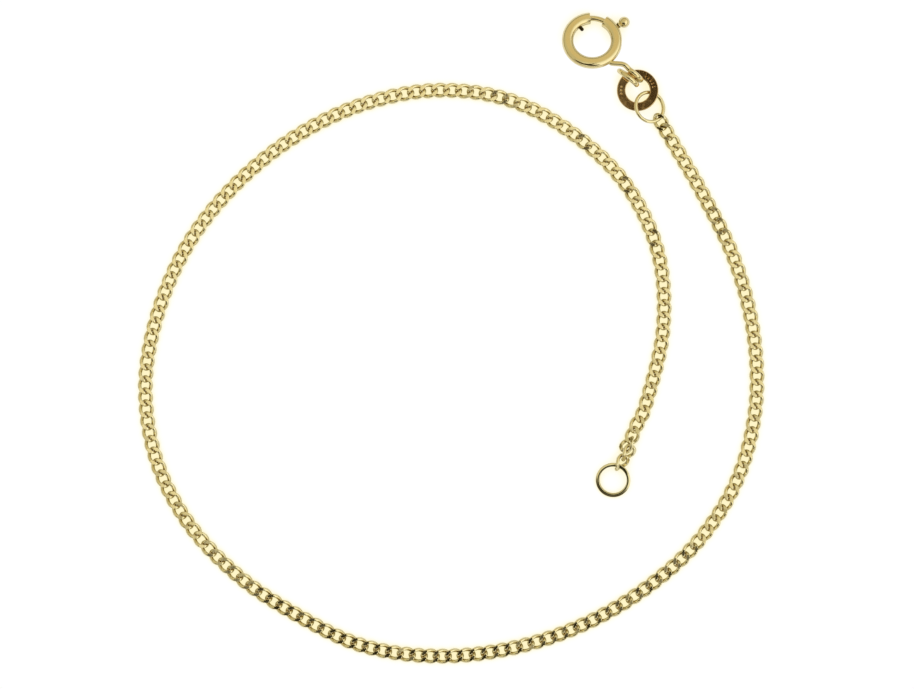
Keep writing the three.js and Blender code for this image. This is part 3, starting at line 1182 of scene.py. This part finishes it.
        # The neck starts inside the tube, so that no space shows between the two
        points = [
            place @ polar(self.radius + self.tube_width / 3, self.neck_at),
            place @ polar(self.outer / 2 + self.neck_straight, self.neck_at),
            centre - along * loop_radius - across * self.neck_sidestep + UP * loop_radius,
        ]
        for k in range(int(self.loop_turn / self.loop_step) + 1):
            turn = k * self.loop_step
            at = math.radians(self.loop_from - turn)
            # Between one pass over the top and the next the wire moves aside by loop_shift
            aside = self.loop_shift * ((turn - (self.loop_from - 90.0)) / 360.0 - 0.5)
            points.append(
                centre + along * loop_radius * math.cos(at) + across * aside + UP * loop_radius * math.sin(at)
            )
        return points

    def tail(self, place: Matrix, tree: bpy.types.NodeTree, finish: bpy.types.Material) -> bpy.types.Object:
        """Bends the tail, thicker where it is soldered to the tube and thinner at its free end.

        Args:
            place: The clasp's own frame.
            tree: The tree that makes a round wire.
            finish: The clasp's material.

        Returns:
            The tail as one mesh.
        """
        points = self.tail_points(place)
        plain = len(points) - len(self.neck_swell) - 1
        path = curve_object("tail_path", points, radii=[*self.neck_swell, *[1.0] * plain, self.tail_tip])
        grow(path, tree, {
            "Wire": self.tail_wire, "Sides": self.tail_sides, "Steps": self.tail_steps, "Finish": finish,
        })
        return realised(path, "clasp_tail")

    def trigger(self, place: Matrix, tree: bpy.types.NodeTree, finish: bpy.types.Material,
                ) -> bpy.types.Object:
        """Builds the tongue with its post, collar and ball as one piece.

        Args:
            place: The clasp's own frame.
            tree: The tree that makes a round wire.
            finish: The clasp's material.

        Returns:
            The trigger as one mesh.
        """
        span = self.tongue_to - self.tongue_from
        bearings = [self.tongue_from + span * k / (self.tongue_knots - 1) for k in range(self.tongue_knots)]
        points = [place @ polar(self.radius, b) for b in bearings]
        tucked, tip = self.tongue_tips
        path = curve_object("tongue_path", points, radii=[tucked, *[1.0] * (len(points) - 2), tip])
        grow(path, tree, {
            "Wire": self.tongue_wire,
            "Sides": self.tongue_sides,
            "Steps": self.tongue_steps,
            "Finish": finish,
        })
        tongue = realised(path, "tongue")
        turned = lathe(self.knob_outline(), self.knob_sides, False)
        knob = mesh_object("knob", turned, place @ self.outward(self.trigger_at))
        return joined("trigger_piece", [tongue, knob])

    def outward(self, bearing: float) -> Matrix:
        """Returns the turn of +Z to the line from the clasp's middle at a bearing."""
        return UP.rotation_difference(polar(1.0, bearing)).to_matrix().to_4x4()

    def knob_outline(self) -> list[tuple[float, float]]:
        """Works out the outline of the post, collar and ball.

        Returns:
            The radius and the height above the clasp's middle of each point.
        """
        bead = self.collar_edge
        collar_radius = self.collar / 2 - bead
        collar_height = self.outer / 2 + self.collar_reach
        points = [(0.0, self.radius), (self.post / 2, self.radius), (self.post / 2, collar_height - bead)]
        for k in range(self.collar_steps + 1):
            turn = math.radians(180.0 * k / self.collar_steps - 90.0)
            points.append((collar_radius + bead * math.cos(turn), collar_height + bead * math.sin(turn)))
        ball_radius = self.ball / 2
        ball_height = self.outer / 2 + self.ball_reach
        start = math.asin(self.post / self.ball)
        for k in range(self.ball_steps):
            turn = start + (math.pi - start) * k / self.ball_steps
            points.append((ball_radius * math.sin(turn), ball_height - ball_radius * math.cos(turn)))
        points.append((0.0, ball_height + ball_radius))
        return points

    def build(self, joint: dict, tree: bpy.types.NodeTree, finish: bpy.types.Material,
              near_black: bpy.types.Material) -> list[bpy.types.Object]:
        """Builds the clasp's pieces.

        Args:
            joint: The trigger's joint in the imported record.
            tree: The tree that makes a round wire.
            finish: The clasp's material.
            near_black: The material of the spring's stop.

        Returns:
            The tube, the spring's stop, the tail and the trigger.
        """
        place = self.frame(joint)
        tube = self.tube(place)
        stop = self.stop(place)
        tail = self.tail(place, tree, finish)
        trigger = self.trigger(place, tree, finish)
        pieces = [tube, stop, tail, trigger]
        for piece in pieces:
            piece.data.materials.clear()
            piece.data.materials.append(near_black if piece is stop else finish)
            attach(piece, Body.TRIGGER.value if piece is trigger else Body.BRACELET.value)
        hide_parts("clasp_ring")
        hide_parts("clasp_trigger")
        return pieces


# Studio
@dataclass(frozen=True)
class Card:
    """A round card that hangs over the jewel, where the gold mirrors it.

    Attributes:
        bearing: The side on which it hangs, in degrees from +X towards +Y.
        lean: How far it hangs from straight overhead, in degrees.
        radius: How wide it looks from the jewel, in degrees from its middle to its edge.
        softness: Half the width of its blurred edge, in degrees.
        colour: Its colour.
    """

    bearing: float
    lean: float
    radius: float
    softness: float
    colour: Colour


@dataclass
class Studio:
    """A white surface in a tent with a lit and a dim side, the cards that the gold mirrors, and the camera.

    The surface glows, so that it is plain white, with painted yellow bounce light from the gold close to
    the jewel. The gold mirrors a duller surface, with painted shadow close to the jewel. A blend says where
    each starts and where it ends.
    """

    horizon: Colour = (0.20, 0.16, 0.06)
    horizon_blend: tuple[float, float] = (0.10, 0.36)
    dim_side: Colour = (0.56, 0.50, 0.30)
    lit_side: Colour = (1.06, 1.00, 0.80)
    lit_bearing: float = -45.0
    side_blend: tuple[float, float] = (-0.5, 0.6)

    floor_size: float = 0.8
    floor_tone: Colour = (1.02, 1.02, 1.02)
    # Painted bounce light: the surface's yellow tint close to the gold, where the camera sees it
    painted_gold_bounce: Colour = (1.0, 0.90, 0.50)
    painted_bounce_blend: tuple[float, float] = (0.3, 0.95)
    mirrored_floor: Colour = (0.80, 0.77, 0.66)
    # Painted shadow: the surface's darker tone close to the gold, where the gold mirrors it
    mirrored_painted_shadow: Colour = (0.30, 0.24, 0.09)
    mirrored_shadow_blend: tuple[float, float] = (0.6, 1.0)
    painted_light_reach: float = 1.2 * MM
    painted_light_samples: int = 12

    camera_height: float = 0.32
    view_centre: tuple[float, float] = (0.5 * MM, -0.46 * MM)
    view_width: float = 76.17 * MM
    sensor: float = 36.0
    clip: tuple[float, float] = (0.01, 5.0)

    CARDS = (
        # A warm one on the far side, for the slopes that face it
        Card(88.0, 45.0, 22.0, 6.0, (0.65, 0.53, 0.28)),
        # Overhead, for what lies level
        Card(0.0, 0.0, 9.0, 3.0, (0.85, 0.765, 0.52)),
        # Two dark ones for the clasp's near slope, where they show as a crescent
        Card(-130.0, 45.0, 20.0, 4.0, (0.04, 0.027, 0.008)),
        Card(-88.0, 45.0, 20.0, 4.0, (0.04, 0.027, 0.008)),
        # A dark one for the cut faces of the nearest links
        Card(-90.0, 8.0, 6.3, 1.5, (0.020, 0.014, 0.004)),
        # A dark one for the tag and the cut faces of the first links
        Card(50.2, 7.8, 4.0, 0.4, (0.040, 0.024, 0.006)),
        # A dark one for the top of the end ring
        Card(249.5, 18.9, 9.0, 2.0, (0.035, 0.035, 0.016)),
    )

    def tent_light(self) -> None:
        """Builds the tent and its cards as the world that lights the scene."""
        world = bpy.data.worlds.new("tent")
        bpy.context.scene.world = world
        world.use_nodes = True
        world.node_tree.nodes.clear()
        wiring = Wiring(world.node_tree)
        direction = wiring.add("ShaderNodeTexCoord").outputs["Generated"]
        height = wiring.parts(direction)[2]
        towards = wiring.vector("DOT_PRODUCT", direction, tuple(polar(1.0, self.lit_bearing)))
        tent = wiring.mix(wiring.ramp(towards, *self.side_blend), rgba(self.dim_side), rgba(self.lit_side))
        colour = wiring.mix(wiring.ramp(height, *self.horizon_blend), rgba(self.horizon), tent)
        for card in self.CARDS:
            axis = Quaternion(polar(1.0, card.bearing + 90.0), math.radians(card.lean)) @ UP
            nearness = wiring.vector("DOT_PRODUCT", direction, tuple(axis))
            outside = math.cos(math.radians(card.radius + card.softness))
            inside = math.cos(math.radians(card.radius - card.softness))
            shade = wiring.ramp(nearness, outside, inside)
            colour = wiring.mix(shade, colour, rgba(card.colour))
        light = wiring.add("ShaderNodeBackground", {"Color": colour, "Strength": 1.0})
        out = wiring.add("ShaderNodeOutputWorld")
        wiring.feed(out.inputs["Surface"], light.outputs[0])

    def floor(self) -> bpy.types.Object:
        """Builds the plain white surface, with painted yellow bounce light from the gold on it close to the
        jewel.

        Returns:
            The surface's object.
        """
        mesh = bmesh.new()
        bmesh.ops.create_grid(mesh, x_segments=1, y_segments=1, size=self.floor_size / 2)
        floor = mesh_object("floor", mesh)
        white = bpy.data.materials.new("white_surface")
        white.use_nodes = True
        wiring = Wiring(white.node_tree)
        shader = next(n for n in white.node_tree.nodes if n.type == "BSDF_PRINCIPLED")
        shader.inputs["Base Color"].default_value = (0.0, 0.0, 0.0, 1.0)
        shader.inputs["Specular IOR Level"].default_value = 0.0
        shader.inputs["Roughness"].default_value = 1.0
        shader.inputs["Emission Strength"].default_value = 1.0
        # Painted light and shadow on the surface, from ambient occlusion near the jewel
        painted_light_ao = wiring.add(
            "ShaderNodeAmbientOcclusion", {"Distance": self.painted_light_reach}, samples=self.painted_light_samples,
        )
        openness = painted_light_ao.outputs["AO"]
        seen = wiring.add("ShaderNodeLightPath").outputs["Is Camera Ray"]
        far = wiring.ramp(openness, *self.painted_bounce_blend)
        in_view = wiring.mix(far, rgba(self.painted_gold_bounce), rgba(self.floor_tone))
        mirrored_far = wiring.ramp(openness, *self.mirrored_shadow_blend)
        mirrored = wiring.mix(mirrored_far, rgba(self.mirrored_painted_shadow), rgba(self.mirrored_floor))
        wiring.feed(shader.inputs["Emission Color"], wiring.mix(seen, mirrored, in_view))
        floor.data.materials.append(white)
        return floor

    def camera(self) -> bpy.types.Object:
        """Hangs the camera straight above the jewel.

        Returns:
            The camera's object.
        """
        data = bpy.data.cameras.new("overhead")
        data.sensor_width = self.sensor
        data.lens = self.sensor * self.camera_height / self.view_width
        data.clip_start, data.clip_end = self.clip
        camera = linked("overhead", data)
        camera.location = (*self.view_centre, self.camera_height)
        bpy.context.scene.camera = camera
        return camera

    def build(self) -> list[bpy.types.Object]:
        """Sets up the light, the surface and the camera.

        Returns:
            The surface and the camera.
        """
        bpy.context.scene.view_settings.view_transform = "Standard"
        self.tent_light()
        return [self.floor(), self.camera()]


def main() -> None:
    """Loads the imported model, builds each piece on it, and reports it."""
    logging.basicConfig(level=logging.INFO, format="%(name)s: %(message)s")
    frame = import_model()
    joint = next(j for j in frame["joints"] if j["child"] == Body.TRIGGER.value)
    effects = {"polish_lines": polish_lines(), "soft_wear": soft_wear(), "painted_crevice_shade": painted_crevice_shade()}
    chain_gold, clasp_gold, ring_gold, tag_gold, near_black = (
        f.material(effects) for f in (CHAIN_FINISH, CLASP_FINISH, RING_FINISH, TAG_FINISH, NEAR_BLACK_FINISH)
    )
    wire = round_wire()
    for piece in Studio().build():
        log.info("%s: %.0f mm above the surface", piece.name, piece.location.z / MM)
    jump_ring = WireRing(node="jump_ring", outer=2.80 * MM, wire=0.29 * MM, uphill_bearing=206.0, tilt=24.0)
    end_ring = WireRing(
        node="end_ring", outer=2.87 * MM, wire=0.30 * MM, uphill_bearing=60.0, tilt=9.0, squareness=7.0,
    )
    pieces = [
        Chain().build(chain_gold),
        *Clasp().build(joint, wire, clasp_gold, near_black),
        Tag().build(tag_gold),
        jump_ring.build(wire, ring_gold),
        end_ring.build(wire, ring_gold),
    ]
    for piece in pieces:
        log.info("%s: %d faces", piece.name, len(piece.data.polygons))


if __name__ == "__main__":
    main()
